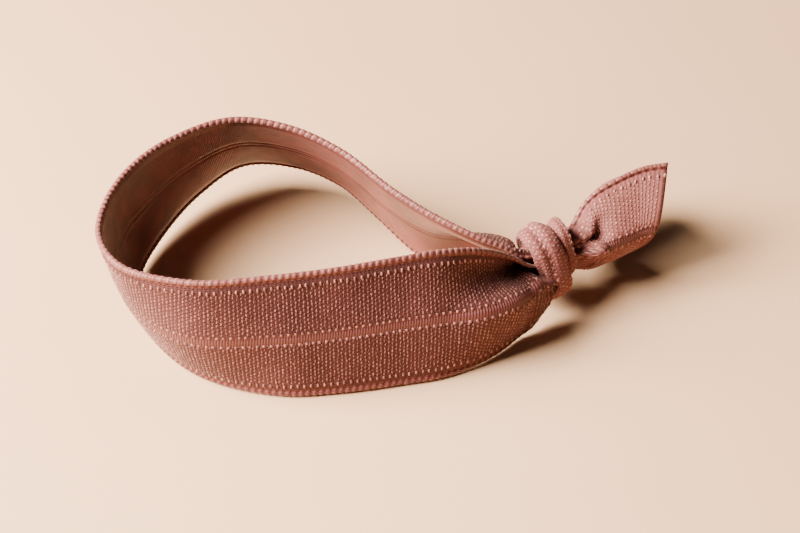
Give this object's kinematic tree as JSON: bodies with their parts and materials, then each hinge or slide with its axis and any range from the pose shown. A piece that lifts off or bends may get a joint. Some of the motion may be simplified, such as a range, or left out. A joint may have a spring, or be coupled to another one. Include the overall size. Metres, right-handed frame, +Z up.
{
  "type": "knotted elastic hair tie",
  "caption": "Elastic ribbon hair tie: a strip of fold-over elastic bent into a stretching loop and tied to itself, leaving two short tails.",
  "frame": {"origin": "under the middle of the whole tie's box, on the surface it stands on", "axes": "+X from the bend towards the knot and tails, +Y from the front leg towards the back leg, +Z up across the strip's width"},
  "size_m": [0.0702, 0.038, 0.0177],
  "materials": {
    "knit_face": "shimmering knit, dusty rose brown",
    "satin_back": "smooth satin knit, lighter than the face",
    "edge_cord": "tight corded selvage with small cross stitches",
    "fold_line": "smooth recessed line between two rows of stitches",
    "elastane": "bare elastane yarn",
    "knot_fabric": "the same knit, gathered and pulled tight",
    "sealed_end": "melted yarn ends"
  },
  "bodies": {
    "knot": {"knot_front_strand": "knot_fabric", "knot_back_strand": "knot_fabric", "front_tail_neck": "knot_fabric", "back_tail_neck": "knot_fabric", "front_leg_lower_edge_cord": "edge_cord", "front_leg_lower_knit_face": "knit_face", "front_leg_lower_elastane": "elastane", "front_leg_lower_satin_back": "satin_back", "front_leg_fold_line": "fold_line", "front_leg_upper_satin_back": "satin_back", "front_leg_upper_elastane": "elastane", "front_leg_upper_knit_face": "knit_face", "front_leg_upper_edge_cord": "edge_cord", "back_leg_lower_edge_cord": "edge_cord", "back_leg_lower_knit_face": "knit_face", "back_leg_lower_elastane": "elastane", "back_leg_lower_satin_back": "satin_back", "back_leg_fold_line": "fold_line", "back_leg_upper_satin_back": "satin_back", "back_leg_upper_elastane": "elastane", "back_leg_upper_knit_face": "knit_face", "back_leg_upper_edge_cord": "edge_cord"},
    "bend": {"bend_lower_edge_cord": "edge_cord", "bend_lower_knit_face": "knit_face", "bend_lower_elastane": "elastane", "bend_lower_satin_back": "satin_back", "bend_fold_line": "fold_line", "bend_upper_satin_back": "satin_back", "bend_upper_elastane": "elastane", "bend_upper_knit_face": "knit_face", "bend_upper_edge_cord": "edge_cord"},
    "front_tail": {"front_tail_lower_edge_cord": "edge_cord", "front_tail_lower_knit_face": "knit_face", "front_tail_lower_elastane": "elastane", "front_tail_lower_satin_back": "satin_back", "front_tail_fold_line": "fold_line", "front_tail_upper_satin_back": "satin_back", "front_tail_upper_elastane": "elastane", "front_tail_upper_knit_face": "knit_face", "front_tail_upper_edge_cord": "edge_cord", "front_tail_sealed_end": "sealed_end"},
    "back_tail": {"back_tail_lower_edge_cord": "edge_cord", "back_tail_lower_knit_face": "knit_face", "back_tail_lower_elastane": "elastane", "back_tail_lower_satin_back": "satin_back", "back_tail_fold_line": "fold_line", "back_tail_upper_satin_back": "satin_back", "back_tail_upper_elastane": "elastane", "back_tail_upper_knit_face": "knit_face", "back_tail_upper_edge_cord": "edge_cord", "back_tail_sealed_end": "sealed_end"}
  },
  "joints": [
    {"name": "loop_stretch", "type": "slide", "parent": "knot", "child": "bend", "axis": [-1, 0, 0], "range_m": [0, 0.045], "stiffness_N_per_m": 60, "deforming": ["front_leg_lower_edge_cord", "front_leg_lower_knit_face", "front_leg_lower_elastane", "front_leg_lower_satin_back", "front_leg_fold_line", "front_leg_upper_satin_back", "front_leg_upper_elastane", "front_leg_upper_knit_face", "front_leg_upper_edge_cord", "back_leg_lower_edge_cord", "back_leg_lower_knit_face", "back_leg_lower_elastane", "back_leg_lower_satin_back", "back_leg_fold_line", "back_leg_upper_satin_back", "back_leg_upper_elastane", "back_leg_upper_knit_face", "back_leg_upper_edge_cord"]},
    {"name": "front_tail_flex", "type": "hinge", "parent": "knot", "child": "front_tail", "pos_m": [0.02122, 0.00146, 0.0072], "axis": [0, 0, 1], "range_deg": [-40, 0], "stiffness_Nm_per_rad": 0.0003, "deforming": ["front_tail_neck"]},
    {"name": "back_tail_flex", "type": "hinge", "parent": "knot", "child": "back_tail", "pos_m": [0.02122, 0.00146, 0.0072], "axis": [0, 0, 1], "range_deg": [0, 40], "stiffness_Nm_per_rad": 0.0003, "deforming": ["back_tail_neck"]}
  ]
}
